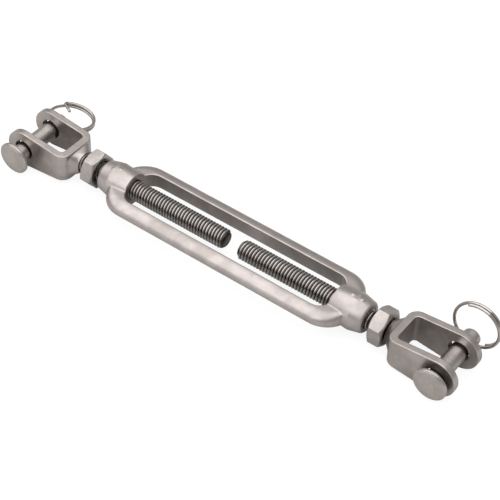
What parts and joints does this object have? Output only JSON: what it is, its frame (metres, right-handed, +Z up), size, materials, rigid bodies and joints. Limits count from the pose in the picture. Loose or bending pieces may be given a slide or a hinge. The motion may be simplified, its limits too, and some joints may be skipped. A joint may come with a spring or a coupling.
{
  "type": "rigging turnbuckle",
  "caption": "Open-body jaw-and-jaw turnbuckle in stainless steel: threaded rods, lock nuts, forked jaws, headed clevis pins and split rings.",
  "frame": {"origin": "middle of the whole object's footprint, on the surface it lies on", "axes": "+X along the rods towards the end with the left-hand thread, clevis pins along Y with their heads towards -Y, +Z up"},
  "size_m": [0.1582, 0.0336, 0.0193],
  "materials": {
    "body_steel": "cast and tumbled stainless steel, satin",
    "fork_steel": "forged stainless steel, satin",
    "stud_steel": "rolled thread, dark in its roots",
    "nut_steel": "machined stainless steel, fine-grained",
    "pin_steel": "turned stainless steel, semi-bright",
    "ring_steel": "drawn stainless wire, bright"
  },
  "bodies": {
    "body": {"body_frame": "body_steel"},
    "left_nut": {"left_lock_nut": "nut_steel"},
    "left_jaw": {"left_fork": "fork_steel", "left_stud": "stud_steel"},
    "left_pin": {"left_clevis_pin": "pin_steel"},
    "left_ring": {"left_split_ring": "ring_steel"},
    "right_nut": {"right_lock_nut": "nut_steel"},
    "right_jaw": {"right_fork": "fork_steel", "right_stud": "stud_steel"},
    "right_pin": {"right_clevis_pin": "pin_steel"},
    "right_ring": {"right_split_ring": "ring_steel"}
  },
  "joints": [
    {"name": "left_travel", "type": "slide", "parent": "body", "child": "left_nut", "axis": [1, 0, 0], "range_m": [-0.03, 0.001]},
    {"name": "left_jaw_turn", "type": "hinge", "parent": "left_nut", "child": "left_jaw", "pos_m": [-0.07173, -0.00489, 0.006], "axis": [1, 0, 0], "range_deg": [-10800, 360]},
    {"name": "left_pin_play", "type": "slide", "parent": "left_jaw", "child": "left_pin", "axis": [0, 1, 0], "range_m": [-0.0001, 0.0036]},
    {"name": "left_ring_swing", "type": "hinge", "parent": "left_pin", "child": "left_ring", "pos_m": [-0.07173, 0.00311, 0.00562], "axis": [0.9962, 0, -0.0872], "range_deg": [-66, 97]},
    {"name": "right_travel", "type": "slide", "parent": "body", "child": "right_nut", "axis": [1, 0, 0], "range_m": [-0.002, 0.031]},
    {"name": "right_jaw_turn", "type": "hinge", "parent": "right_nut", "child": "right_jaw", "pos_m": [0.07047, -0.00489, 0.006], "axis": [1, 0, 0], "range_deg": [-11160, 720]},
    {"name": "right_pin_play", "type": "slide", "parent": "right_jaw", "child": "right_pin", "axis": [0, 1, 0], "range_m": [-0.0015, 0.0016]},
    {"name": "right_ring_swing", "type": "hinge", "parent": "right_pin", "child": "right_ring", "pos_m": [0.07047, 0.00511, 0.00562], "axis": [0.9781, 0, -0.2079], "range_deg": [-178, 8]}
  ],
  "couplings": [
    {"joint": "left_travel", "follows": "left_jaw_turn", "m_per_rad": 0.00015915},
    {"joint": "right_travel", "follows": "right_jaw_turn", "m_per_rad": -0.00015915}
  ]
}
